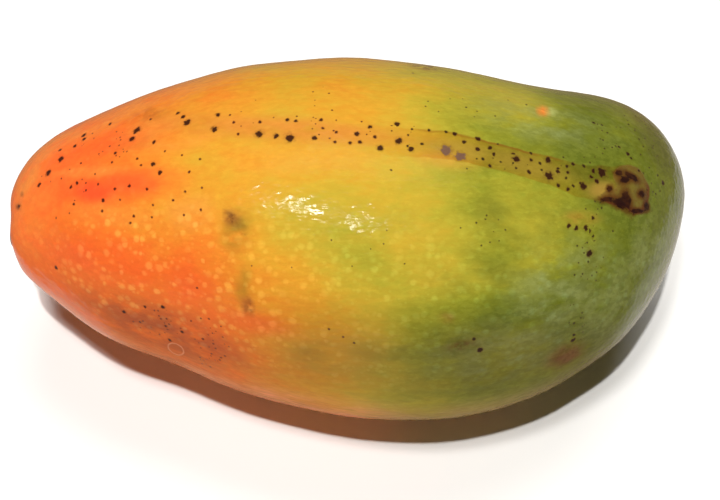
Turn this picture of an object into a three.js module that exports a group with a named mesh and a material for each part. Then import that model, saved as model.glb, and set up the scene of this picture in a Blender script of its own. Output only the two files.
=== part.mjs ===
// A whole mango, lying on one cheek. Millimetres, +Z up.
// +X runs from the stem end to the tip and +Y to the belly side. The origin is on the ground, under the
// middle of the fruit's box.

import * as THREE from 'three';
import { mergeVertices } from 'three/addons/utils/BufferGeometryUtils.js';

// Driving sizes
const length = 140;
const restDepth = 0.6; // how far the resting spot is pressed flat

// Sections at equal steps of the angle from the stem end (0) to the tip (pi). Each one is an ellipse, and its
// half widths are multiplied by the sine of that angle, which closes both ends round.
const spineOffset = [0, 0.5, 1.5, -1, -0.5, -2, -3.5, -5, -5.5, -1.5, 2, 6.5, 8];
const halfWidth = [49, 36.5, 33.5, 32.5, 32, 35.5, 36.5, 38, 37.5, 40, 43.5, 43, 35];
const halfThickness = [43, 34, 32.5, 33.5, 35, 36, 35.5, 35.5, 35.5, 36, 36, 36, 34];
const lean = 0.025; // how far a section leans to the belly side, over its height

// The pit at the stem end, its folded rim and the corky scar in it
const pit = { y: -1.5, z: -1, radius: 5.5, depth: 1.8 };
const folds = { count: 5, height: 0.35, radius: 8, spread: 3.5, turn: 0.7 };
const scar = { y: -2.5, z: -1.5, radius: 2.6, height: 1.5, edge: 0.7, hollow: 0.35 };

// Mesh steps
const ringCount = 62;
const segmentCount = 76;
const endCrowding = 0.62; // 0 spaces the rings evenly, 1 crowds them into both ends

// A smooth curve through the neighbourhood of equally spaced values, level at both ends.
// Each value has the weight of a cubic B-spline.
function blend(values, share) {
  const last = values.length - 1;
  const place = share * last;
  const step = Math.min(Math.floor(place), last - 1);
  const t = place - step;
  const at = (index) => values[index < 0 ? -index : index > last ? 2 * last - index : index];
  return ((1 - t) ** 3 * at(step - 1)
    + (3 * t ** 3 - 6 * t ** 2 + 4) * at(step)
    + (3 * t ** 2 - 3 * t ** 3 + 3 * t + 1) * at(step + 1)
    + t ** 3 * at(step + 2)) / 6;
}

// How far the stem end is pushed inwards at a point across it: the pit, less its folded rim and the scar.
function stemRelief(y, z) {
  const pitReach = Math.hypot(y - pit.y, z - pit.z);
  const hollow = pit.depth * Math.exp(-((pitReach / pit.radius) ** 2));
  const turn = Math.atan2(z - pit.z, y - pit.y);
  const rim = Math.exp(-(((pitReach - folds.radius) / folds.spread) ** 2));
  const fold = folds.height * rim * Math.cos(folds.count * turn + folds.turn);
  const scarReach = Math.hypot(y - scar.y, z - scar.z);
  const button = scar.height / (1 + Math.exp((scarReach - scar.radius) / (scar.edge / 2)));
  const dimple = scar.hollow * Math.exp(-((scarReach / (scar.radius / 2)) ** 2));
  return hollow - fold - button + dimple;
}

// A point of the skin: angle runs from the stem end to the tip, turn runs round the section.
function skinPoint(angle, turn) {
  const share = angle / Math.PI;
  const across = Math.sin(angle) * blend(halfWidth, share) * Math.cos(turn);
  const up = Math.sin(angle) * blend(halfThickness, share) * Math.sin(turn);
  const atStem = angle < Math.PI / 2 ? stemRelief(across, up) : 0;
  const along = atStem - length / 2 * Math.cos(angle);
  return new THREE.Vector3(along, blend(spineOffset, share) + across + lean * up, up);
}

// The ring angles lie closer together near the stem end and near the tip.
function ringAngle(ring) {
  const share = ring / ringCount;
  return Math.PI * share - endCrowding / 2 * Math.sin(2 * Math.PI * share);
}

// A closed skin: one point at each end, and rings between them that are joined by two triangles a cell.
function skinGeometry() {
  const points = [skinPoint(0, 0)];
  for (let ring = 1; ring < ringCount; ring += 1) {
    for (let segment = 0; segment < segmentCount; segment += 1) {
      points.push(skinPoint(ringAngle(ring), 2 * Math.PI * segment / segmentCount));
    }
  }
  points.push(skinPoint(Math.PI, 0));

  const tip = points.length - 1;
  const index = (ring, segment) => 1 + (ring - 1) * segmentCount + segment % segmentCount;
  const triangles = [];
  for (let segment = 0; segment < segmentCount; segment += 1) {
    triangles.push(0, index(1, segment + 1), index(1, segment));
    for (let ring = 1; ring < ringCount - 1; ring += 1) {
      const [a, b] = [index(ring, segment), index(ring, segment + 1)];
      const [c, d] = [index(ring + 1, segment), index(ring + 1, segment + 1)];
      triangles.push(a, b, d, a, d, c);
    }
    triangles.push(tip, index(ringCount - 1, segment), index(ringCount - 1, segment + 1));
  }
  const geometry = new THREE.BufferGeometry().setFromPoints(points);
  geometry.setIndex(triangles);
  return geometry;
}

// Centres the skin over the origin and presses its lowest part flat on the ground.
function setDown(geometry) {
  geometry.computeBoundingBox();
  const { min, max } = geometry.boundingBox;
  geometry.translate(-(min.x + max.x) / 2, -(min.y + max.y) / 2, -min.z - restDepth);
  const position = geometry.getAttribute('position');
  for (let i = 0; i < position.count; i += 1) {
    position.setZ(i, Math.max(position.getZ(i), 0));
  }
  return mergeVertices(geometry);
}

const skin = new THREE.MeshStandardMaterial({ color: 0xd9a23c, roughness: 0.42, metalness: 0 });
const mango = new THREE.Mesh(setDown(skinGeometry()), skin);
mango.name = 'mango';

const group = new THREE.Group();
group.add(mango);

export default group;
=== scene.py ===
import math

import bpy
import numpy as np
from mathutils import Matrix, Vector


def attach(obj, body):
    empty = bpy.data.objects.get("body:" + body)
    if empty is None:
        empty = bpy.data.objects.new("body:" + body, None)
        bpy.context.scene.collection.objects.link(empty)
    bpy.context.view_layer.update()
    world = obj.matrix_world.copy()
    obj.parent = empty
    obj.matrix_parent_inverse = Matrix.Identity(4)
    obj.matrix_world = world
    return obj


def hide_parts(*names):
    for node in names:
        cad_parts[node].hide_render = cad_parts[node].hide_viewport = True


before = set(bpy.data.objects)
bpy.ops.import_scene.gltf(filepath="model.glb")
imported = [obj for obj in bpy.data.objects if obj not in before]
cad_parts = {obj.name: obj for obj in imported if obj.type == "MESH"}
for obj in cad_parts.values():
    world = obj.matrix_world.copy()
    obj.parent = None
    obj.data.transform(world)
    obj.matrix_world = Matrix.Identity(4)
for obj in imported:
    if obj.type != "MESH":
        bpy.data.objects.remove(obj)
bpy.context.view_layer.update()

scene = bpy.context.scene
mm = 0.001

view = {
    "width": 720,  # the render's frame, in pixels
    "height": 500,
    "elevation": 60,  # degrees above the ground, looking along +Y
    "distance": 420,  # mm from the aim point
    "aim": (2.2, -2.5, 35),
    "lens": 102.2,
    "sensor": 36,
    "clipStart": 0.01,  # metres
    "grazing": 0.05,  # how far the skin has to face the lens for marks to show whole
}
viewScale = view["lens"] / view["sensor"] * view["width"]  # pixels for each unit of offset over depth


def cameraAxes():
    # Unit vectors of the view: to the right, up, and back from the fruit to the lens.
    tilt = math.radians(view["elevation"])
    right = np.array((1.0, 0.0, 0.0))
    up = np.array((0.0, math.sin(tilt), math.cos(tilt)))
    back = np.array((0.0, -math.cos(tilt), math.sin(tilt)))
    return right, up, back


def lensPlace():
    # The aim point plus the distance along the view's back axis, in mm.
    return np.array(view["aim"], float) + cameraAxes()[2] * view["distance"]


def shownAt(points):
    # The pixels where points show: their sideways and upwards offsets over their depth, times the scale.
    right, up, back = cameraAxes()
    away = points - lensPlace()
    depth = -(away @ back)
    across = view["width"] / 2 + viewScale * (away @ right) / depth
    down = view["height"] / 2 - viewScale * (away @ up) / depth
    return across, down


def makeCamera():
    # A camera at the lens place, turned up from straight down by the elevation's complement.
    lens = bpy.data.cameras.new("camera")
    lens.lens = view["lens"]
    lens.sensor_width = view["sensor"]
    lens.clip_start = view["clipStart"]
    camera = bpy.data.objects.new("camera", lens)
    scene.collection.objects.link(camera)
    camera.location = lensPlace() * mm
    camera.rotation_euler = (math.radians(90 - view["elevation"]), 0, 0)
    scene.camera = camera
    scene.view_settings.view_transform = "Standard"


makeCamera()
print("camera placed")

fruit = {
    "length": 140,
    "restDepth": 0.6,
    "spineOffset": [0, 0.5, 1.5, -1, -0.5, -2, -3.5, -5, -5.5, -1.5, 2, 6.5, 8],
    "halfWidth": [49, 36.5, 33.5, 32.5, 32, 35.5, 36.5, 38, 37.5, 40, 43.5, 43, 35],
    "halfThickness": [43, 34, 32.5, 33.5, 35, 36, 35.5, 35.5, 35.5, 36, 36, 36, 34],
    "lean": 0.025,
    "pit": {"y": -1.5, "z": -1, "radius": 5.5, "depth": 1.8},
    "folds": {"count": 5, "height": 0.15, "radius": 8, "spread": 3.5, "turn": 0.7},
    "scar": {"y": -2.5, "z": -1.5, "radius": 2.6, "height": 1.5, "edge": 0.7, "hollow": 0.35},
    "rings": 270,
    "segments": 364,
    "endCrowding": 0.45,
    "dents": {"height": 0.12, "length": 22, "seed": 3},
    "ripples": {"height": 0.012, "length": 3.2, "seed": 4},
}


def blend(values, share):
    # Cubic B-spline through the neighbourhood of equally spaced values, level at both ends.
    values = np.asarray(values, float)
    last = len(values) - 1
    place = np.clip(share, 0, 1) * last
    step = np.minimum(np.floor(place).astype(int), last - 1)
    t = place - step

    def at(index):
        folded = np.abs(index)
        return values[np.where(folded > last, 2 * last - folded, folded)]

    return (
        (1 - t) ** 3 * at(step - 1)
        + (3 * t ** 3 - 6 * t ** 2 + 4) * at(step)
        + (3 * t ** 2 - 3 * t ** 3 + 3 * t + 1) * at(step + 1)
        + t ** 3 * at(step + 2)
    ) / 6


def waves(points, length, seed, count=24):
    # Sum of sines in random directions, each near the given length, that swings by about one.
    draw = np.random.default_rng(seed)
    directions = draw.normal(size=(count, 3))
    directions /= np.linalg.norm(directions, axis=1)[:, None]
    lengths = length * draw.uniform(0.7, 1.5, count)
    phases = draw.uniform(0, 2 * math.pi, count)
    total = np.zeros(len(points))
    for direction, one, phase in zip(directions, lengths, phases):
        total += np.sin(points @ direction * (2 * math.pi / one) + phase)
    return total / math.sqrt(count / 2)


def stemRelief(y, z):
    # How far the stem end is pushed in: a bell-shaped pit, less its folded rim and the scar's flat button.
    pit, folds, scar = fruit["pit"], fruit["folds"], fruit["scar"]
    pitReach = np.hypot(y - pit["y"], z - pit["z"])
    hollow = pit["depth"] * np.exp(-(pitReach / pit["radius"]) ** 2)
    turn = np.arctan2(z - pit["z"], y - pit["y"])
    rim = np.exp(-((pitReach - folds["radius"]) / folds["spread"]) ** 2)
    fold = folds["height"] * rim * np.cos(folds["count"] * turn + folds["turn"])
    scarReach = np.hypot(y - scar["y"], z - scar["z"])
    steepness = np.clip((scarReach - scar["radius"]) / (scar["edge"] / 2), -50, 50)
    button = scar["height"] / (1 + np.exp(steepness))
    dimple = scar["hollow"] * np.exp(-(scarReach / (scar["radius"] / 2)) ** 2)
    return hollow - fold - button + dimple


def sectionPlace(angle, turn):
    # Offsets sideways and up from the spine: an ellipse, its blended half widths times the angle's sine.
    share = angle / math.pi
    across = np.sin(angle) * blend(fruit["halfWidth"], share) * np.cos(turn)
    up = np.sin(angle) * blend(fruit["halfThickness"], share) * np.sin(turn)
    return across, up


def skinPoints(angle, turn):
    # Leaning ellipses on a bent spine: their place along is minus the cosine of the angle.
    across, up = sectionPlace(angle, turn)
    atStem = np.where(angle < math.pi / 2, stemRelief(across, up), 0)
    along = atStem - fruit["length"] / 2 * np.cos(angle)
    sideways = blend(fruit["spineOffset"], angle / math.pi) + across + fruit["lean"] * up
    return np.stack((along, sideways, up), -1)


def gridAngles():
    # Rings lie closer together near both ends, which are single points.
    share = np.arange(1, fruit["rings"]) / fruit["rings"]
    angle = math.pi * share - fruit["endCrowding"] / 2 * np.sin(2 * math.pi * share)
    turn = 2 * math.pi * np.arange(fruit["segments"]) / fruit["segments"]
    return np.meshgrid(angle, turn, indexing="ij")


def gridFaces(rings, segments):
    # Quads between neighbouring rings and triangles to the two end points, all facing outwards.
    ring = np.arange(rings)[:, None]
    segment = np.arange(segments)[None, :]
    corner = 1 + ring * segments + segment
    beside = 1 + ring * segments + (segment + 1) % segments
    quads = np.stack((corner[:-1], beside[:-1], beside[1:], corner[1:]), -1).reshape(-1, 4)
    tip = 1 + rings * segments
    stemFan = np.stack((np.zeros(segments, int), beside[0], corner[0]), -1)
    tipFan = np.stack((np.full(segments, tip), corner[-1], beside[-1]), -1)
    return quads, np.concatenate((stemFan, tipFan))


def centred(points):
    # The middle of the box goes over the origin, and the lowest point sinks by the resting depth.
    low, high = points.min(0), points.max(0)
    shift = ((low[0] + high[0]) / 2, (low[1] + high[1]) / 2, low[2] + fruit["restDepth"])
    return points - np.array(shift)


def outward(points):
    # Unit normals: the cross product of the grid's steps round and along the skin.
    shape = (fruit["rings"] - 1, fruit["segments"], 3)
    skinGrid = points[1:-1].reshape(shape)
    along = np.gradient(skinGrid, axis=0)
    around = np.roll(skinGrid, -1, axis=1) - np.roll(skinGrid, 1, axis=1)
    normal = np.cross(around, along)
    normal /= np.linalg.norm(normal, axis=-1)[..., None]
    return np.concatenate(((-1.0, 0, 0), normal.ravel(), (1.0, 0, 0))).reshape(-1, 3)


def smoothPoints():
    # The fruit without its fine relief, in mm: the stem end's point, the rings, and the tip's point.
    angle, turn = gridAngles()
    stemEnd = skinPoints(np.array([0.0]), np.array([0.0]))
    tipEnd = skinPoints(np.array([math.pi]), np.array([0.0]))
    rings = skinPoints(angle, turn).reshape(-1, 3)
    return centred(np.concatenate((stemEnd, rings, tipEnd)))


def facingOf(points, normals):
    # The cosine between each point's normal and its line to the lens.
    towardLens = lensPlace() - points
    towardLens /= np.linalg.norm(towardLens, axis=1)[:, None]
    return (normals * towardLens).sum(1)


smooth = smoothPoints()
normals = outward(smooth)
shownX, shownY = shownAt(smooth)
facing = facingOf(smooth, normals)
seen = np.clip(facing / view["grazing"], 0, 1)  # marks fade out where the skin turns away
print("skin worked out:", len(smooth), "points")

streak = {  # where sap ran over the skin: pixels along its middle, and half its width there
    "middle": [
        (618, 184), (599, 183), (579, 180), (558, 173), (535, 167), (504, 159), (472, 151), (440, 145),
        (400, 142), (350, 137)],
    "halfWidth": [18, 18, 16, 14, 13, 12.5, 13, 14, 15, 16],
    "fade": (350, 460),  # the pixels across, between which the streak fades in
    "upperFade": 3,  # pixels on either side of the middle line
}

# Dried sap at the streak's end. Each oval: middle, half length and half height in pixels, tilt in degrees.
crust = {
    "ovals": [((634, 190), 15, 23, -12), ((616, 197), 14, 8, 6), ((624, 176), 11, 9, 6)],
    "clots": [
        ((618, 173), 3.4, 3, 0), ((631, 177), 8, 3, 32), ((624, 180), 5, 3.5, 0), ((626.5, 201), 10, 3.6, 76),
        ((608, 199), 7, 3, -4), ((620, 203), 7, 4.6, 18), ((609.5, 189), 2.4, 3.6, 10),
        ((641, 194), 3.6, 4, 0), ((646.5, 206), 2.4, 4, -10), ((636, 211), 8, 2, 0),
        ((633, 214), 1.6, 1.4, 0)],
    "height": 0.12,  # mm
    "rise": (1.15, 0.6),  # the reaches where the height begins and is whole
    "joinPower": 5,  # the higher, the less the ovals' overlaps are rounded
    "leastReach": 0.05,  # keeps the power finite at a middle
    "lumps": {"mean": 0.7, "swing": 0.5, "length": 2.6, "seed": 11},
}

# The droplet's pale ring is partly a painted highlight on its raised rim.
droplet = ((176, 349), 8.5, 5, 28)  # a dried ring: an oval like those of the crust

offSkin = 9  # a reach for anywhere beyond a mark
stainBell = {"power": 3.2, "steepness": 0.7}

# Soft stains: pixel, half length, half height, tilt, strength. The last three only shift what is there.
stains = {
    "blush": [
        (97, 191, 26, 12, 0, 1.0), (128, 184, 46, 14, -6, 0.8), (102, 142, 30, 13, -18, 0.35),
        (154, 176, 24, 9, -4, 0.6), (110, 258, 50, 20, 14, 0.5), (190, 278, 30, 16, 20, 0.35),
        (255, 322, 34, 10, 12, 0.5)],
    "pale": [
        (110, 214, 40, 11, 6, 0.35), (190, 212, 22, 16, 0, 0.6), (85, 172, 30, 5, -4, 0.6),
        (150, 128, 30, 9, -16, 0.35), (290, 160, 60, 14, 2, 0.3), (45, 145, 30, 12, -38, 0.45),
        (32, 205, 20, 44, 10, 0.3)],
    "olive": [
        (244, 285, 6, 16, 8, 0.6), (237, 230, 12, 19, 10, 0.8), (462, 346, 22, 12, -12, 0.6),
        (492, 212, 16, 16, 0, 0.55), (498, 268, 24, 16, 10, 0.55), (508, 244, 22, 16, 0, 0.45),
        (592, 272, 12, 24, 12, 0.5), (578, 325, 12, 26, 0, 0.35), (655, 150, 12, 30, -38, 0.5),
        (600, 104, 60, 8, 12, 0.5), (488, 252, 22, 12, 0, 0.4), (445, 282, 26, 12, 10, 0.3),
        (556, 224, 24, 18, 0, 0.3), (493, 330, 12, 16, 0, 0.4), (380, 352, 30, 10, 4, 0.4),
        (310, 352, 16, 10, 0, 0.35)],
    "brown": [
        (249, 307, 5, 8, 10, 0.7), (566, 356, 14, 8, -28, 0.5), (462, 345, 15, 4, -10, 0.7),
        (232, 218, 5, 5.5, 10, 1.0), (226, 213, 2.5, 2, 0, 0.8), (241, 226, 3.5, 2.5, 0, 0.6),
        (243, 234, 3, 2, 0, 0.5), (425, 67, 13, 3, 8, 0.8), (151, 113, 14, 6, -8, 0.3),
        (640, 120, 20, 5, 35, 0.25), (20, 207, 2.5, 3, 0, 0.9), (23, 195, 1.5, 3, 0, 0.6)],
    "mauve": [
        # The first mauve stain, low on the near flank, is painted shade.
        (320, 356, 50, 20, 8, 0.2), (165, 331, 85, 20, 20, 1.0), (205, 340, 40, 16, 24, 0.8),
        (232, 218, 8, 8, 0, 0.6), (248, 303, 5, 6, 0, 0.8), (447, 318, 7, 5, 0, 0.5),
        (566, 357, 18, 9, -28, 0.7), (140, 142, 30, 9, -14, 0.2)],
    # Waxy bloom; the last one, on the right rim, is a painted sheen.
    "bloomAndSheen": [
        (562, 290, 45, 36, -20, 0.6), (505, 350, 70, 28, -10, 0.35), (600, 300, 50, 60, -40, 0.4),
        (540, 122, 60, 16, 12, 0.5), (655, 262, 26, 44, 10, 0.5)],
    "tan": [
        (603, 190, 13, 8, 0, 0.7), (525, 165, 44, 10, 15, 0.3), (455, 150, 36, 9, 8, 0.4),
        (18, 200, 5, 9, 0, 0.7)],
    "gold": [
        (128, 113, 90, 10, -22, 0.55), (34, 168, 36, 9, -56, 0.45), (543, 111, 5, 4.5, 0, 1.0),
        (290, 129, 100, 11, 4, 0.6), (190, 138, 40, 9, -14, 0.5), (445, 160, 30, 8, 8, 0.3),
        (30, 180, 6, 22, 32, 0.7), (581, 219, 16, 7, 0, 0.3)],
    "light": [(552, 111, 4, 4, 0, 0.8)],
    "greener": [
        (497, 252, 32, 16, -8, 0.1), (290, 205, 55, 34, 0, 0.06), (550, 145, 50, 22, 12, 0.1),
        (470, 118, 60, 16, 10, 0.06), (560, 226, 26, 16, 0, 0.05), (500, 312, 36, 20, 0, 0.14),
        (375, 245, 60, 30, 0, 0.02)],
    "redder": [(140, 134, 40, 12, -14, 0.08), (280, 100, 95, 20, 2, 0.08)],
    # The shade kind is painted shade: it only darkens the colour where it lies.
    "shade": [(285, 130, 130, 11, 4, 0.6), (352, 352, 68, 28, 6, 1.0), (655, 145, 10, 34, -30, 0.6)],
}


def ovalDistance(place, halfLength, halfHeight, tilt):
    # Nought at the middle of a tilted oval in the view and one on its edge.
    turn = math.radians(tilt)
    sideways, downwards = shownX - place[0], shownY - place[1]
    along = (sideways * math.cos(turn) + downwards * math.sin(turn)) / halfLength
    across = (downwards * math.cos(turn) - sideways * math.sin(turn)) / halfHeight
    return np.hypot(along, across)


def ovalReach(*oval):
    # The oval's distance on the side that faces the lens.
    return np.where(seen > 0.5, np.minimum(ovalDistance(*oval), offSkin), offSkin)


def stainOf(*oval):
    # Flat-topped bell on the side that faces the lens: e to minus the steepness times the distance's power.
    return seen * np.exp(-ovalDistance(*oval) ** stainBell["power"] * stainBell["steepness"])


def strongest(kind):
    # The greatest of the kind's stains at every point, each times its strength.
    return np.max([strength * stainOf((x, y), *oval) for x, y, *oval, strength in stains[kind]], axis=0)


def streakPlace():
    # Distance to the nearest piece of the middle line, over the half width there.
    best = np.full(len(smooth), float(offSkin))
    middle = np.array(streak["middle"], float)
    half = streak["halfWidth"]
    for a, b, halfA, halfB in zip(middle[:-1], middle[1:], half[:-1], half[1:]):
        step = b - a
        away = np.stack((shownX, shownY), -1) - a
        share = np.clip(away @ step / (step @ step), 0, 1)
        offset = away - share[:, None] * step
        reach = np.hypot(offset[:, 0], offset[:, 1]) / (halfA + (halfB - halfA) * share)
        best = np.minimum(best, reach)
    return np.where(seen > 0.5, best, offSkin)


def streakUpper():
    # One above the streak's middle line in the view, nought below it, and smooth between.
    middle = np.array(streak["middle"][::-1], float)
    above = np.interp(shownX, middle[:, 0], middle[:, 1]) - shownY
    return ramp(above, -streak["upperFade"], streak["upperFade"])


def ramp(values, low, high):
    # Smooth step from nought at low to one at high.
    share = np.clip((values - low) / (high - low), 0, 1)
    return share * share * (3 - 2 * share)


ripeness = {  # 0 is red-orange and 1 is green: values at equal steps from the stem end to the tip
    "top": [0.03, 0.06, 0.17, 0.32, 0.44, 0.51, 0.57, 0.6, 0.7, 0.87, 0.95, 1.0, 1.05],
    "near": [0.0, 0.0, 0.08, 0.12, 0.16, 0.38, 0.58, 0.83, 0.97, 0.98, 0.99, 1.0, 1.05],
    "far": [0.05, 0.1, 0.22, 0.34, 0.42, 0.44, 0.5, 0.6, 0.68, 0.78, 0.94, 1.02, 1.05],
    "nearFrom": 0.42,  # how far the skin faces to one side where that side's values begin and hold alone
    "nearTo": 0.85,
    "farFrom": 0.1,
    "farTo": 0.5,
    "unevenness": 0.045,
    "patch": 26,  # mm
    "seed": 7,
}


def ripenessOf(points):
    # The blended values of the top, near and far sides, weighed by where the skin faces, and made uneven.
    share = points[:, 0] / fruit["length"] + 0.5
    near = ramp(-normals[:, 1], ripeness["nearFrom"], ripeness["nearTo"])
    far = ramp(normals[:, 1], ripeness["farFrom"], ripeness["farTo"])
    level = blend(ripeness["top"], share) * (1 - near - far)
    level += blend(ripeness["near"], share) * near + blend(ripeness["far"], share) * far
    level += strongest("greener") - strongest("redder")
    return level + ripeness["unevenness"] * waves(points, ripeness["patch"], ripeness["seed"])


def joinedReach(ovals):
    # The ovals' reaches joined smoothly into one: their minus fifth powers add up to that of the whole.
    reaches = np.maximum([ovalReach(*oval) for oval in ovals], crust["leastReach"])
    total = (reaches ** -crust["joinPower"]).sum(0)
    return np.minimum(total ** (-1 / crust["joinPower"]), offSkin)


# Each mask changes smoothly between two levels: of how far the skin faces one way, or of mm along it.
bands = {
    # The first four place the painted shade along the near flank.
    "paintedShadeForward": (0.68, 0.88),
    "paintedShadeUp": (-0.1, 0.25),
    "paintedShadeAlong": (-24, -4),
    "paintedShadeAtStem": 0.1,
    "poresForward": (0.3, 0.6),
    "poresUp": (0, 0.35),
    "poresBack": (0.5, 0.9),
    "poresAlong": (-64, -50),
    "poresAbove": 0.15,
    "poresBehind": 0.5,
    "poresAtStem": 0.35,
    # The under levels place the paler underside with its painted bounce light.
    "underDown": (-0.1, 0.4),
    "underTip": (0.15, 0.7),
    "underBack": (-0.3, 0.4),
    "underLostAtTip": 0.6,
    "underLostBehind": 0.45,
}


def paintedShadeOf():
    # Painted shade: a darker band along the near flank, where the skin faces forward and a little up, less at
    # the stem.
    forward = ramp(-normals[:, 1], *bands["paintedShadeForward"]) * ramp(normals[:, 2], *bands["paintedShadeUp"])
    atStem = bands["paintedShadeAtStem"]
    return forward * (atStem + (1 - atStem) * ramp(smooth[:, 0], *bands["paintedShadeAlong"]))


def poresOf():
    # How strongly pores show: most on the near upper flank, less behind, faint at the stem and above.
    near = ramp(-normals[:, 1], *bands["poresForward"]) * ramp(normals[:, 2], *bands["poresUp"])
    above, atStem = bands["poresAbove"], bands["poresAtStem"]
    level = above + (1 - above) * near + bands["poresBehind"] * ramp(normals[:, 1], *bands["poresBack"])
    return level * (atStem + (1 - atStem) * ramp(smooth[:, 0], *bands["poresAlong"]))


def undersideBounceOf():
    # The paler underside, partly painted bounce light from the floor: one where the skin faces down, less
    # toward the tip and on the far side.
    down = ramp(-normals[:, 2], *bands["underDown"])
    notTip = 1 - bands["underLostAtTip"] * ramp(normals[:, 0], *bands["underTip"])
    return down * notTip * (1 - bands["underLostBehind"] * ramp(normals[:, 1], *bands["underBack"]))


def scarPlace():
    # Distance from the stem scar's middle over its radius, from the same grid as the skin.
    angle, turn = gridAngles()
    across, up = sectionPlace(angle, turn)
    scar = fruit["scar"]
    reach = np.hypot(across - scar["y"], up - scar["z"]) / scar["radius"]
    reach = np.where(angle < math.pi / 2, reach, offSkin)
    atStem = math.hypot(scar["y"], scar["z"]) / scar["radius"]
    return np.concatenate(([atStem], reach.ravel(), [offSkin]))


crustReach = joinedReach(crust["ovals"])
attributes = {
    "ripe": ripenessOf(smooth),
    # Painted shade: the near flank's darker band, joined with the shade stains.
    "paintedShade": np.maximum(paintedShadeOf(), strongest("shade")),
    "under": undersideBounceOf(),
    "pores": poresOf(),
    "streak": streakPlace(),
    "streakFade": ramp(shownX, *streak["fade"]),
    "streakUpper": streakUpper(),
    "crust": crustReach,
    "clots": joinedReach(crust["clots"]),
    "droplet": ovalReach(*droplet),
    "scar": scarPlace(),
}
colourStains = [kind for kind in stains if kind not in ("greener", "redder", "shade")]
attributes.update({kind: strongest(kind) for kind in colourStains})


def reliefPoints():
    # The smooth fruit moved along its normals by the dents, ripples and crust, and pressed flat below.
    dents, ripples = fruit["dents"], fruit["ripples"]
    height = dents["height"] * waves(smooth, dents["length"], dents["seed"])
    height += ripples["height"] * waves(smooth, ripples["length"], ripples["seed"])
    lumps = crust["lumps"]
    lumpy = lumps["mean"] + lumps["swing"] * waves(smooth, lumps["length"], lumps["seed"])
    height += crust["height"] * ramp(crustReach, *crust["rise"]) * lumpy
    points = smooth + normals * height[:, None]
    points[:, 2] = np.maximum(points[:, 2], 0)
    return points


def writeValues(mesh, name, domain, values):
    # One number or one vector for each point or face.
    kind, field = ("FLOAT", "value") if values.ndim == 1 else ("FLOAT_VECTOR", "vector")
    mesh.attributes.new(name, kind, domain).data.foreach_set(field, values.astype(np.float32).ravel())


def makeSkin():
    # The relief's points and the grid's faces as one mesh, with a value at each point for every mark.
    points = reliefPoints() * mm
    quads, fans = gridFaces(fruit["rings"] - 1, fruit["segments"])
    mesh = bpy.data.meshes.new("mango_skin")
    mesh.from_pydata(points, [], quads.tolist() + fans.tolist())
    mesh.polygons.foreach_set("use_smooth", np.ones(len(mesh.polygons), bool))
    for name, values in attributes.items():
        writeValues(mesh, name, "POINT", values)
    mesh.validate()
    mesh.update()
    skin = bpy.data.objects.new("mango_skin", mesh)
    scene.collection.objects.link(skin)
    return skin


skin = makeSkin()
print("skin made:", len(skin.data.polygons), "faces")

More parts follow.
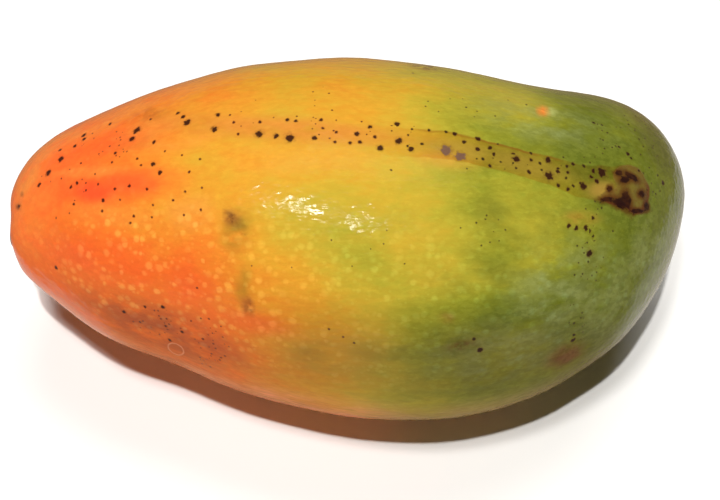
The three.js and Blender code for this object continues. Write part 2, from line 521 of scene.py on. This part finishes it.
spots = {  # pixels of the dark sap spots, by size, and the sizes' radii in mm
    "sizes": {"grey": 0.95, "clot": 0.86, "large": 0.68, "medium": 0.48, "small": 0.35, "fine": 0.24},
    "grey": [(446, 150), (460, 156)],
    "clot": [(289, 138), (589.5, 253), (549, 176), (602, 172)],
    "large": [
        (61, 159), (132, 139), (137, 130), (187, 122), (214, 129), (259, 134), (48, 173), (380, 148),
        (399, 141), (516, 159), (548, 160), (546, 174), (583, 186)],
    "medium": [
        (75, 146), (84, 139), (84, 135), (39, 185), (178, 113), (183, 117), (218, 115), (276, 136),
        (314, 138), (357, 134), (370, 127), (397, 124), (455, 134), (478, 139), (478, 149), (513, 155),
        (553, 178), (568, 189), (56, 268), (153, 164), (160, 173), (170, 340), (163, 307), (480, 350),
        (573, 340), (569, 226), (576, 228), (586, 228), (589, 231), (411, 149), (558, 172), (604, 175),
        (597, 181), (594, 171), (591, 177), (663, 183)],
    "small": [
        (60, 150), (110, 124), (151, 119), (234, 122), (238, 134), (260, 122), (287, 120), (296, 121),
        (321, 120), (323, 128), (336, 132), (335, 142), (350, 143), (360, 142), (375, 137), (408, 146),
        (422, 144), (429, 130), (446, 132), (464, 142), (490, 148), (494, 154), (483, 159), (490, 166),
        (516, 168), (531, 153), (531, 160), (540, 163), (529, 172), (558, 169), (556, 174), (567, 166),
        (573, 164), (568, 172), (566, 178), (558, 185), (573, 186), (584, 166), (605, 178), (595, 180),
        (103, 200), (129, 186), (147, 189), (115, 153), (71, 187), (77, 183), (74, 204), (154, 142),
        (145, 307), (124, 312), (474, 339), (591, 233), (593, 236), (594, 239), (639, 171), (182, 332),
        (574, 335), (594, 123), (619, 147), (628, 154), (631, 158), (593, 218), (19, 206)],
    "fine": [
        (86, 183), (98, 184), (86, 190), (115, 189), (95, 174), (81, 163), (112, 162), (137, 159), (141, 165),
        (165, 151), (160, 170), (120, 200), (153, 205), (173, 200), (185, 192), (202, 188), (189, 172),
        (200, 159), (182, 155), (56, 218), (134, 216), (152, 217), (130, 223), (184, 215), (102, 211),
        (201, 210), (332, 110), (230, 115), (408, 135), (412, 129), (392, 125), (498, 144), (513, 163),
        (501, 162), (542, 170), (583, 180), (574, 323), (197, 288), (140, 322), (203, 339), (209, 319),
        (166, 326), (343, 337), (329, 329), (354, 343), (413, 73), (391, 170), (628, 330)],
    # Clusters of fine dots: pixel, half length, half height, count and radius in mm.
    "clusters": [
        (212, 345, 18, 23, 34, 0.16), (165, 322, 40, 13, 22, 0.16), (625, 135, 32, 28, 34, 0.17),
        (588, 262, 16, 24, 18, 0.15), (520, 160, 80, 12, 16, 0.15), (330, 128, 90, 14, 18, 0.15),
        (110, 145, 32, 14, 20, 0.15), (470, 105, 60, 14, 12, 0.14), (480, 232, 30, 26, 10, 0.14),
        (600, 215, 22, 24, 16, 0.15), (655, 175, 12, 22, 10, 0.2), (300, 105, 70, 20, 10, 0.13),
        (575, 325, 10, 22, 12, 0.15), (340, 260, 90, 40, 8, 0.13), (60, 190, 30, 30, 8, 0.14)],
    "hidden": {"medium": 16, "small": 60, "fine": 110},  # how many lie on the side away from the lens
    "hiddenFacing": -0.05,  # that side is where the skin faces the lens by less than this
    # Each spot's radius is that of its size or cluster, times a share drawn between these.
    "spread": {"placed": (0.85, 1.15), "cluster": (0.7, 1.4), "hidden": (0.7, 1.1)},
    "seed": 21,
    "faceReach": 0.3,  # mm from a face's middle to its corners, about
    "farthest": 12,  # faces further off than this many radii belong to no spot
    "ownReach": 1.3,  # a face this near to a larger spot isn't given to a smaller one
}


def sightLine(place):
    # The direction from the lens through a pixel of the view: the inverse of shownAt.
    right, up, back = cameraAxes()
    sideways = (place[0] - view["width"] / 2) / viewScale
    upwards = (view["height"] / 2 - place[1]) / viewScale
    return right * sideways + up * upwards - back


def skinAt(place):
    # The point in metres where the line through a pixel meets the skin.
    hit, point = skin.ray_cast(lensPlace() * mm, sightLine(place))[:2]
    return np.array(point) if hit else None


def spotList():
    # Every spot's middle and radius in metres: the placed ones, then the seeded ones.
    draw = np.random.default_rng(spots["seed"])
    spread = spots["spread"]
    least, greatest = spread["cluster"]
    found = []
    for size, radius in spots["sizes"].items():
        for place in spots[size]:
            found.append((skinAt(place), radius * draw.uniform(*spread["placed"]), float(size == "grey")))
    for x, y, halfLength, halfHeight, count, radius in spots["clusters"]:
        for turn, reach, share in draw.uniform(size=(count, 3)):
            angle = 2 * math.pi * turn
            offset = math.sqrt(reach) * np.array((math.cos(angle), math.sin(angle)))
            place = np.array((x, y)) + offset * (halfLength, halfHeight)
            found.append((skinAt(place), radius * (least + (greatest - least) * share), 0.0))
    hidden = np.flatnonzero(facing < spots["hiddenFacing"])
    for size, count in spots["hidden"].items():
        for index in draw.choice(hidden, count, replace=False):
            radius = spots["sizes"][size] * draw.uniform(*spread["hidden"])
            found.append((smooth[index] * mm, radius, 0.0))
    return [(middle, radius * mm, grey) for middle, radius, grey in found if middle is not None]


def writeSpots():
    # Each face keeps the nearest spot, counted in its radii. Larger spots come first and keep theirs.
    middles = np.zeros(len(skin.data.polygons) * 3, np.float32)
    skin.data.polygons.foreach_get("center", middles)
    middles = middles.reshape(-1, 3)
    nearest = np.full(len(middles), float(spots["farthest"]))
    spotMiddle = np.full((len(middles), 3), float(offSkin))
    spotRadius = np.full(len(middles), mm)
    spotGrey = np.zeros(len(middles))
    placed = spotList()
    for middle, radius, grey in placed:
        gap = np.linalg.norm(middles - middle, axis=1) - spots["faceReach"] * mm
        reach = np.maximum(gap, 0) / radius
        better = (reach < nearest) & (nearest > spots["ownReach"])
        nearest[better] = reach[better]
        spotMiddle[better] = middle
        spotRadius[better] = radius
        spotGrey[better] = grey
    for name, values in (("spotMiddle", spotMiddle), ("spotRadius", spotRadius), ("spotGrey", spotGrey)):
        writeValues(skin.data, name, "FACE", values)
    return len(placed)


bpy.context.view_layer.update()
print("spots placed:", writeSpots())

finish = {
    "ripeColours": [(0.0, (238, 102, 44)), (0.15, (228, 112, 40)), (0.3, (217, 131, 42)),
                    (0.45, (206, 148, 44)), (0.58, (189, 156, 48)), (0.7, (166, 152, 46)),
                    (0.85, (137, 137, 40)), (1.0, (102, 109, 34))],
    "blush": (232, 80, 40),
    "pale": (226, 148, 66),
    "olive": (98, 98, 32),
    "brown": (96, 54, 28),
    "mauve": (148, 66, 48),
    # Waxy bloom, also a painted sheen on the right rim.
    "bloomAndSheen": (142, 148, 90),
    "tan": (168, 132, 58),
    "gold": (228, 134, 56),
    "light": (170, 172, 96),
    # A paler underside, partly painted bounce light from the floor.
    "undersideAndBounce": (255, 158, 106),
    "undersideAndBounceGreen": (176, 152, 92),
    "streakLine": (120, 56, 22),
    "crustTan": (114, 98, 38),
    "crustEdge": (98, 44, 20),
    "crustBrown": (80, 42, 16),
    "crustClot": (32, 12, 14),
    "spot": (44, 16, 14),
    "spotFine": (88, 30, 18),
    "spotGreen": (48, 46, 16),
    "spotGrey": (104, 76, 62),
    "cork": (128, 98, 66),
    "corkRing": (66, 42, 26),
    # A pale ring, partly a painted highlight on the droplet's rim.
    "ring": (236, 160, 118),
    # These six multiply the colour below them.
    "poreTint": (1.1, 1.9, 2.4, 1),
    "poreTintGreen": (1.26, 1.4, 2.0, 1),
    # Painted shade: darkens the near flank and the shade stains.
    "paintedShadeTint": (0.77, 0.7, 0.85, 1),
    "streakTint": (0.92, 0.7, 0.5, 1),
    "fleckTint": (0.68, 0.71, 0.6, 1),
    "strokeTint": (1.2, 1.2, 1.3, 1),
    # How much of what lies below each colour hides where its mark is whole.
    "cover": {"undersideAndBounce": 0.92, "pale": 0.8, "gold": 1.0, "light": 1.0, "olive": 0.75, "mauve": 0.7,
              "brown": 0.9, "streakLine": 0.5, "crust": 0.85, "crustMottle": 0.45, "clotHalo": 0.8,
              "clotMottle": 0.35, "clot": 0.92, "spotHalo": 0.3, "spot": 0.94, "ring": 0.45, "corkRing": 0.8},
    # A pattern goes from nought at the first level of a noise, or of the ripeness, to whole at the second.
    "steps": {"green": (0.55, 0.95), "red": (0.5, 0.1), "bloomAndSheen": (0.3, 0.65), "undersideAndBounce": (0.75, 1.25),
              "blush": (0.1, 0.55), "stain": (0.2, 0.6), "brown": (0.3, 0.6), "porePatch": (0.1, 0.45),
              "fleck": (0.56, 0.4), "stroke": (0.48, 0.68), "streakMottle": (0.3, 0.7),
              "lineGaps": (0.42, 0.62), "crustMottle": (0.48, 0.62), "clotMottle": (0.4, 0.65),
              "greenSpot": (0.45, 0.7), "corkGrain": (0.35, 0.65),
              # So does a mark over two reaches, where one is its drawn edge.
              "streak": (1.04, 0.94), "lineInside": (0.8, 0.96), "lineOutside": (1.1, 1.0),
              "crust": (1.06, 0.94), "crustMargin": (0.6, 0.92), "marginOffStreak": (0.7, 1.1),
              "crustLump": (1.2, 0.6), "clotHalo": (2.1, 1.0), "clot": (1.1, 0.75), "spotHalo": (1.8, 0.9),
              "spot": (1.15, 0.7), "ring": (0.16, 0.04), "corkRing": (1.7, 1.2), "cork": (1.1, 0.9),
              "corkRough": (1.6, 1.0),
              # Up to these radii in metres, spots are fainter and of a paler colour.
              "spotWhole": (0, 0.00022), "spotDark": (0.0002, 0.00045)},
    # Slope and start of what changes with a noise, a draw, the ripeness or the side.
    "slopes": {"stainsAbove": (-0.8, 1.0), "poreRadius": (0.45, 0.55), "poreDraw": (0.6, 0.4),
               "poresOnRed": (0.35, 0.6), "flecksOnGreen": (0.5, 0.14), "strokesOnGreen": (0.45, 0.3),
               "streakMottle": (0.4, 0.7), "marginBelow": (-0.6, 1.0)},
    # How far noises move the ripeness and the edges of the marks.
    "unevenness": {"broad": 0.16, "blotch": 0.2, "flow": 0.16},
    "wander": {"streak": 0.35, "streakShift": -0.17, "clot": 1.6, "spot": 1.8, "scar": 0.4},
    # The underside's colour is partly painted bounce light from the floor.
    "leastUndersideBounce": 0.5,  # how much of the underside's colour shows where the noise leaves least
    # Each noise has the size of its lumps in mm, its detail and its roughness.
    "noises": {"broad": (13, 3, 0.5), "ragged": (1.7, 4, 0.62), "flow": (1.3, 3, 0.6),
               "blotch": (4.2, 3, 0.55), "stroke": (1.0, 4, 0.7), "relief": (1.1, 1, 0.4),
               "wander": (3.5, 3, 0.5), "poreWobble": (1.5, 2, 0.5), "porePatch": (8, 2, 0.5),
               "spotWobble": (0.9, 2, 0.5)},
    # Pores are dots in cells: cells and wobble in mm, radii in cells, and the share where a dot is whole.
    "pores": {"cells": 2.0, "fineCells": 1.5, "wobble": 0.8, "reach": 0.6, "fineReach": 0.4,
              "fineStrength": 0.5, "core": 0.35},
    "drawnOut": (0.5, 1, 1),  # makes brushed patterns twice as long along the fruit
    # The bump's heights in mm, and the roughness of plain skin with what each mark adds to it.
    "heights": {"relief": 0.12, "dots": 0.012, "dark": -0.03, "ring": 0.05, "crust": 0.2},
    "roughness": {"skin": 0.09, "blotch": 0.12, "crust": 0.3, "spot": 0.2, "scar": 0.5},
    "gloss": 0.35,
}


def colour(name):
    # Display colour 0..255 to the linear colour that nodes take.
    levels = np.array(finish[name] if isinstance(name, str) else name) / 255
    linear = np.where(levels < 0.04045, levels / 12.92, ((levels + 0.055) / 1.055) ** 2.4)
    return (*linear.tolist(), 1)


class Nodes:
    # Short ways to add nodes to one tree. Every argument is a socket or a plain value.
    def __init__(self, tree):
        self.tree = tree

    def add(self, kind, inputs=(), **settings):
        node = self.tree.nodes.new(kind)
        for name, value in settings.items():
            setattr(node, name, value)
        for name, value in dict(inputs).items():
            self.feed(node.inputs[name], value)
        return node

    def feed(self, socket, value):
        if isinstance(value, bpy.types.NodeSocket):
            self.tree.links.new(value, socket)
        else:
            socket.default_value = value

    def value(self, name, output="Fac"):
        return self.add("ShaderNodeAttribute", attribute_name=name).outputs[output]

    def sum(self, operation, a, b=0.0, c=0.0, clamp=False):
        node = self.add("ShaderNodeMath", {0: a, 1: b, 2: c}, operation=operation, use_clamp=clamp)
        return node.outputs[0]

    def times(self, *factors):
        # The product of two or more sockets and numbers.
        product = factors[0]
        for factor in factors[1:]:
            product = self.sum("MULTIPLY", product, factor)
        return product

    def scaled(self, value, slope, start):
        # The start, plus the slope times the value.
        return self.sum("MULTIPLY_ADD", value, slope, start)

    def swung(self, value, noise, swing):
        # The value plus the swing times the noise, less half the swing.
        return self.scaled(noise, swing, self.sum("SUBTRACT", value, swing / 2))

    def vectorSum(self, operation, a, b=(0, 0, 0)):
        node = self.add("ShaderNodeVectorMath", operation=operation)
        self.feed(node.inputs[0], a)
        self.feed(node.inputs["Scale" if operation == "SCALE" else 1], b)
        return node.outputs["Value" if operation == "LENGTH" else "Vector"]

    def step(self, value, levels, to=1.0):
        # Smooth step from nought at the first level to the given height at the second, or at named levels.
        low, high = finish["steps"][levels] if isinstance(levels, str) else levels
        inputs = {"Value": value, "From Min": low, "From Max": high, "To Min": 0.0, "To Max": to}
        return self.add("ShaderNodeMapRange", inputs, interpolation_type="SMOOTHSTEP").outputs["Result"]

    def noise(self, vector, name, output="Fac"):
        # The named noise, with its scale one over the size of its lumps in metres.
        size, detail, roughness = finish["noises"][name]
        inputs = {"Vector": vector, "Scale": 1 / (size * mm), "Detail": detail, "Roughness": roughness}
        return self.add("ShaderNodeTexNoise", inputs).outputs[output]

    def mix(self, share, under, over, blend="MIX"):
        node = self.add("ShaderNodeMix", data_type="RGBA", blend_type=blend)
        self.feed(node.inputs[0], share)
        self.feed(node.inputs[6], under)
        self.feed(node.inputs[7], over)
        return node.outputs[2]


def skinFields(nodes):
    # Coordinates in metres, plain and drawn out, and four noises. Functions below add masks that others need.
    place = nodes.add("ShaderNodeTexCoord").outputs["Object"]
    drawn = nodes.vectorSum("MULTIPLY", place, finish["drawnOut"])
    return {
        "place": place,
        "drawn": drawn,
        "broad": nodes.noise(place, "broad"),
        "ragged": nodes.noise(place, "ragged"),
        "flow": nodes.noise(drawn, "flow"),
        "blotch": nodes.noise(drawn, "blotch"),
    }


def ripeColour(nodes, ripe):
    # A colour ramp over ripeness, from its first and last stops and those between.
    node = nodes.add("ShaderNodeValToRGB", {"Fac": ripe})
    stops = node.color_ramp.elements
    for place, levels in finish["ripeColours"][1:-1]:
        stops.new(place).color = colour(levels)
    stops[0].color = colour(finish["ripeColours"][0][1])
    stops[-1].color = colour(finish["ripeColours"][-1][1])
    return node.outputs["Color"]


def groundColour(nodes, fields):
    # Ripeness made uneven by three noises gives the colour, under the waxy bloom and the paler underside with
    # its painted bounce light.
    ripe = nodes.value("ripe")
    for name, swing in finish["unevenness"].items():
        ripe = nodes.swung(ripe, fields[name], swing)
    base = ripeColour(nodes, ripe)
    green = nodes.step(ripe, "green")
    # The waxy bloom, which also paints a sheen on the right rim.
    haze = nodes.times(nodes.value("bloomAndSheen"), nodes.step(fields["blotch"], "bloomAndSheen"))
    base = nodes.mix(haze, base, colour("bloomAndSheen"))
    uneven = nodes.step(nodes.sum("ADD", fields["blotch"], fields["broad"]), "undersideAndBounce")
    uneven = nodes.sum("ADD", uneven, finish["leastUndersideBounce"])
    under = nodes.sum("MULTIPLY", nodes.value("under"), uneven, clamp=True)
    undersideBounceColour = nodes.mix(green, colour("undersideAndBounce"), colour("undersideAndBounceGreen"))
    fields.update(ripe=ripe, green=green, under=under)
    return nodes.mix(nodes.times(under, finish["cover"]["undersideAndBounce"]), base, undersideBounceColour)


def addStains(nodes, fields, base):
    # Soft stains with blotchy or ragged edges, which fade toward the underside.
    cover = finish["cover"]
    blush = nodes.times(nodes.value("blush"), nodes.step(fields["broad"], "blush"))
    base = nodes.mix(blush, base, colour("blush"))
    above = nodes.scaled(fields["under"], *finish["slopes"]["stainsAbove"])
    for name in ("pale", "gold", "light", "olive", "mauve"):
        mottle = nodes.step(fields["blotch"], "stain", cover[name])
        base = nodes.mix(nodes.times(nodes.value(name), mottle, above), base, colour(name))
    mottle = nodes.step(fields["ragged"], "brown", cover["brown"])
    return nodes.mix(nodes.times(nodes.value("brown"), mottle), base, colour("brown"))


def poreDots(nodes, place, cell, reach):
    # Soft round dots at the middles of cells: each cell draws its own radius and strength.
    slopes = finish["slopes"]
    cells = nodes.add("ShaderNodeTexVoronoi", {"Vector": place, "Scale": 1 / (cell * mm)})
    draws = nodes.add("ShaderNodeSeparateColor", {"Color": cells.outputs["Color"]})
    slope, start = slopes["poreRadius"]
    radius = nodes.scaled(draws.outputs["Red"], slope * reach, start * reach)
    core = nodes.times(radius, finish["pores"]["core"])
    dots = nodes.step(cells.outputs["Distance"], (radius, core))
    return nodes.times(dots, nodes.scaled(draws.outputs["Green"], *slopes["poreDraw"]))


def addPores(nodes, fields, base):
    # Pale pores of two sizes, stronger on the red, where their own attribute and wide patches allow them.
    place, pores = fields["place"], finish["pores"]
    wobble = nodes.vectorSum("SCALE", nodes.noise(place, "poreWobble", "Color"), pores["wobble"] * mm)
    fine = nodes.times(poreDots(nodes, place, pores["fineCells"], pores["fineReach"]), pores["fineStrength"])
    large = poreDots(nodes, nodes.vectorSum("ADD", place, wobble), pores["cells"], pores["reach"])
    dots = nodes.sum("MAXIMUM", large, fine)
    redness = nodes.step(fields["ripe"], "red")
    strength = nodes.times(nodes.scaled(redness, *finish["slopes"]["poresOnRed"]), nodes.value("pores"))
    patchy = nodes.step(nodes.noise(place, "porePatch"), "porePatch")
    tint = nodes.mix(redness, finish["poreTintGreen"], finish["poreTint"])
    fields["dots"] = dots
    return nodes.mix(nodes.times(dots, patchy, strength), base, tint, "MULTIPLY")


def addBrushing(nodes, fields, base):
    # Dark flecks and pale strokes, drawn out along the fruit and stronger on the green, and the painted shade
    # of the near flank and of the shade stains.
    slopes, green = finish["slopes"], fields["green"]
    flecks = nodes.times(nodes.step(fields["flow"], "fleck"), nodes.scaled(green, *slopes["flecksOnGreen"]))
    base = nodes.mix(flecks, base, finish["fleckTint"], "MULTIPLY")
    strokes = nodes.step(nodes.noise(fields["drawn"], "stroke"), "stroke")
    strokes = nodes.times(strokes, nodes.scaled(green, *slopes["strokesOnGreen"]))
    base = nodes.mix(strokes, base, finish["strokeTint"], "MULTIPLY")
    return nodes.mix(nodes.value("paintedShade"), base, finish["paintedShadeTint"], "MULTIPLY")


def addStreak(nodes, fields, base):
    # Sap burn: a darker band with a sharp, wandering edge, and a red-brown line along its upper side.
    swing = finish["wander"]
    wander = nodes.scaled(nodes.noise(fields["place"], "wander"), swing["streak"], swing["streakShift"])
    reach = nodes.sum("ADD", nodes.value("streak"), wander)
    fade = nodes.value("streakFade")
    band = nodes.times(nodes.step(reach, "streak"), fade)
    mottle = nodes.scaled(nodes.step(fields["broad"], "streakMottle"), *finish["slopes"]["streakMottle"])
    mottled = nodes.sum("MULTIPLY", band, mottle, clamp=True)
    base = nodes.mix(mottled, base, finish["streakTint"], "MULTIPLY")
    base = nodes.mix(nodes.times(nodes.value("tan"), band), base, colour("tan"))
    line = nodes.times(nodes.step(reach, "lineInside"), nodes.step(reach, "lineOutside"))
    gaps = nodes.step(fields["broad"], "lineGaps", finish["cover"]["streakLine"])
    line = nodes.times(line, fade, nodes.value("streakUpper"), gaps)
    fields.update(wander=wander, streakReach=reach)
    return nodes.mix(line, base, colour("streakLine"))


def addCrust(nodes, fields, base):
    # Dried sap: tan with a red-brown margin where it lies outside the band, and near-black clots.
    cover = finish["cover"]
    reach = nodes.sum("ADD", fields["wander"], nodes.value("crust"))
    area = nodes.step(reach, "crust")
    offStreak = nodes.step(fields["streakReach"], "marginOffStreak")
    below = nodes.scaled(nodes.value("streakUpper"), *finish["slopes"]["marginBelow"])
    margin = nodes.times(nodes.step(reach, "crustMargin"), offStreak, below)
    mottle = nodes.step(fields["ragged"], "crustMottle", cover["crustMottle"])
    margin = nodes.sum("MAXIMUM", margin, mottle)
    crustColour = nodes.mix(margin, colour("crustTan"), colour("crustEdge"))
    base = nodes.mix(nodes.times(area, cover["crust"]), base, crustColour)
    clots = nodes.swung(nodes.value("clots"), fields["ragged"], finish["wander"]["clot"])
    halo = nodes.step(clots, "clotHalo", cover["clotHalo"])
    base = nodes.mix(halo, base, colour("crustBrown"))
    mottle = nodes.step(fields["flow"], "clotMottle", cover["clotMottle"])
    clotColour = nodes.mix(mottle, colour("crustClot"), colour("crustBrown"))
    fields.update(crustReach=reach, crustArea=area)
    return nodes.mix(nodes.times(nodes.step(clots, "clot"), cover["clot"]), base, clotColour)


def addSpots(nodes, fields, base):
    # Sap spots: the wobbled distance to the face's own spot, over its radius. Small ones are fainter.
    cover = finish["cover"]
    radius = nodes.value("spotRadius")
    wobble = nodes.noise(fields["place"], "spotWobble", "Color")
    wobble = nodes.vectorSum("SUBTRACT", wobble, (0.5, 0.5, 0.5))
    wobble = nodes.vectorSum("SCALE", wobble, nodes.times(radius, finish["wander"]["spot"]))
    away = nodes.vectorSum("ADD", fields["place"], wobble)
    away = nodes.vectorSum("SUBTRACT", away, nodes.value("spotMiddle", "Vector"))
    reach = nodes.sum("DIVIDE", nodes.vectorSum("LENGTH", away), radius)
    dark = nodes.times(nodes.step(reach, "spot"), nodes.step(radius, "spotWhole"))
    halo = nodes.step(reach, "spotHalo", cover["spotHalo"])
    base = nodes.mix(halo, base, colour("brown"))
    onGreen = nodes.step(fields["ripe"], "greenSpot")
    fineColour = nodes.mix(onGreen, colour("spotFine"), colour("spotGreen"))
    spotColour = nodes.mix(nodes.step(radius, "spotDark"), fineColour, colour("spot"))
    spotColour = nodes.mix(nodes.value("spotGrey"), spotColour, colour("spotGrey"))
    fields["dark"] = dark
    return nodes.mix(nodes.times(dark, cover["spot"]), base, spotColour)


def addRing(nodes, fields, base):
    # The dried droplet's pale ring, partly a painted highlight on its rim: whole where the reach from its
    # middle is one.
    gap = nodes.sum("ABSOLUTE", nodes.sum("SUBTRACT", nodes.value("droplet"), 1.0))
    fields["ring"] = nodes.step(gap, "ring")
    return nodes.mix(nodes.times(fields["ring"], finish["cover"]["ring"]), base, colour("ring"))


def addScar(nodes, fields, base):
    # The corky stem scar with its darker ring, both with ragged edges.
    reach = nodes.swung(nodes.value("scar"), fields["ragged"], finish["wander"]["scar"])
    ring = nodes.step(reach, "corkRing", finish["cover"]["corkRing"])
    base = nodes.mix(ring, base, colour("corkRing"))
    grain = nodes.step(fields["ragged"], "corkGrain")
    corkColour = nodes.mix(grain, colour("corkRing"), colour("cork"))
    fields["scarReach"] = reach
    return nodes.mix(nodes.step(reach, "cork"), base, corkColour)


def skinBump(nodes, fields):
    # The sum in mm of fine relief drawn out along the fruit, pores, spots, the ring and the lumpy crust.
    heights = finish["heights"]
    height = nodes.times(nodes.noise(fields["drawn"], "relief"), heights["relief"])
    for mark in ("dots", "dark", "ring"):
        height = nodes.scaled(fields[mark], heights[mark], height)
    lumps = nodes.times(nodes.step(fields["crustReach"], "crustLump"), heights["crust"])
    height = nodes.sum("ADD", height, nodes.times(fields["ragged"], lumps))
    bump = nodes.add("ShaderNodeBump", {"Strength": 1.0, "Distance": mm, "Height": height})
    return bump.outputs["Normal"]


def skinRoughness(nodes, fields):
    # The waxy skin's roughness, plus what blotches, crust, spots and the scar add.
    added = finish["roughness"]
    rough = nodes.scaled(fields["blotch"], added["blotch"], added["skin"])
    rough = nodes.scaled(fields["crustArea"], added["crust"], rough)
    rough = nodes.scaled(fields["dark"], added["spot"], rough)
    return nodes.scaled(nodes.step(fields["scarReach"], "corkRough"), added["scar"], rough)


def skinMaterial():
    # The ground colour with each kind of mark laid over the ones before.
    material = bpy.data.materials.new("waxy mango skin")
    material.use_nodes = True
    material.node_tree.nodes.clear()
    nodes = Nodes(material.node_tree)
    fields = skinFields(nodes)
    base = groundColour(nodes, fields)
    for addMarks in (addStains, addPores, addBrushing, addStreak, addCrust, addSpots, addRing, addScar):
        base = addMarks(nodes, fields, base)
    shader = nodes.add("ShaderNodeBsdfPrincipled", {
        "Base Color": base,
        "Roughness": skinRoughness(nodes, fields),
        "Normal": skinBump(nodes, fields),
        "Specular IOR Level": finish["gloss"],
    })
    nodes.add("ShaderNodeOutputMaterial", {"Surface": shader.outputs["BSDF"]})
    return material


skin.data.materials.append(skinMaterial())
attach(skin, "root")
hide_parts("mango")
print("material made")

studio = {
    # The direction toward each lamp, its sides in metres, and its watts. The first four light the scene and
    # cast its shadows, and the glints only show in the gloss.
    "lamps": {
        "key": ((-0.03, -0.259, 0.965), (0.035, 0.035), 15),
        "second": ((-0.11, -0.2, 0.974), (0.14, 0.14), 9.5),
        "soft": ((0.1, 0.33, 0.94), (0.8, 0.5), 10.4),
        "fill": ((-0.93, -0.33, 0.03), (0.4, 0.12), 2.5),
        "glintLeft": ((-0.241, -0.241, 0.94), (0.06, 0.04), 1.9),
        "glintRight": ((-0.013, -0.301, 0.954), (0.045, 0.03), 0.9),
    },
    "lampDistance": 1.5,  # metres
    "lampAim": 33,  # mm above the floor
    "lampColour": (1.0, 0.985, 0.96),
    "world": (1.0, 0.98, 0.95),
    "worldStrength": 0.01,
    "floor": (0.86, 0.855, 0.85, 1),
    "floorBounce": (0.78, 0.75, 0.72, 1),  # how pale the floor is for the light that it throws back up
    "floorGloss": (0.24, 0.17, 0.12, 1),  # how pale it shows in the gloss, apart from the patches
    # Each patch: its middle and radius in metres, and how much of the darker shade stays inside it.
    "glossPatches": [{"middle": (0.1, 0.018, 0), "radius": 0.06, "keeps": 0.5},
                     {"middle": (-0.08, -0.006, 0), "radius": 0.032, "keeps": 0.55}],
    "patchInside": 0.6,  # the share of its radius where a patch is whole
    "floorSize": 6,
    "floorDrop": 0.1,  # mm below the fruit
    "floorRoughness": 0.8,
}


def addLamp(name, toward, sides, watts):
    # An area light on a sphere round the fruit, facing its middle, with its first side along X.
    light = bpy.data.lights.new(name, "AREA")
    light.shape = "RECTANGLE"
    light.size, light.size_y = sides
    light.energy = watts
    light.color = studio["lampColour"]
    piece = bpy.data.objects.new(name, light)
    scene.collection.objects.link(piece)
    away = Vector(toward).normalized()
    piece.location = away * studio["lampDistance"] + Vector((0, 0, studio["lampAim"] * mm))
    piece.rotation_euler = away.to_track_quat("Z", "Y").to_euler()
    piece.visible_glossy = name.startswith("glint")
    piece.visible_diffuse = not piece.visible_glossy


def makeFloor():
    # A pale square. For rays in the skin's gloss it is darker, except inside the patches.
    half = studio["floorSize"] / 2
    corners = [(-half, -half, 0), (half, -half, 0), (half, half, 0), (-half, half, 0)]
    mesh = bpy.data.meshes.new("floor")
    mesh.from_pydata(corners, [], [(0, 1, 2, 3)])
    material = bpy.data.materials.new("pale floor")
    material.use_nodes = True
    shader = material.node_tree.nodes["Principled BSDF"]
    shader.inputs["Roughness"].default_value = studio["floorRoughness"]
    shader.inputs["Specular IOR Level"].default_value = 0
    nodes = Nodes(material.node_tree)
    rays = nodes.add("ShaderNodeLightPath")
    place = nodes.add("ShaderNodeTexCoord").outputs["Object"]
    darker = rays.outputs["Is Glossy Ray"]
    for patch in studio["glossPatches"]:
        away = nodes.vectorSum("LENGTH", nodes.vectorSum("SUBTRACT", place, patch["middle"]))
        rim = (studio["patchInside"] * patch["radius"], patch["radius"])
        outside = nodes.step(away, rim, 1 - patch["keeps"])
        darker = nodes.times(darker, nodes.sum("ADD", outside, patch["keeps"]))
    pale = nodes.mix(rays.outputs["Is Diffuse Ray"], studio["floor"], studio["floorBounce"])
    nodes.feed(shader.inputs["Base Color"], nodes.mix(darker, pale, studio["floorGloss"]))
    mesh.materials.append(material)
    floor = bpy.data.objects.new("floor", mesh)
    floor.location.z = -studio["floorDrop"] * mm
    scene.collection.objects.link(floor)


def makeWorld():
    # An even, very faint light from all round.
    world = bpy.data.worlds.new("studio")
    world.use_nodes = True
    background = world.node_tree.nodes["Background"]
    background.inputs["Color"].default_value = (*studio["world"], 1)
    background.inputs["Strength"].default_value = studio["worldStrength"]
    scene.world = world


for name, lamp in studio["lamps"].items():
    addLamp(name, *lamp)
makeFloor()
makeWorld()
print("studio made")
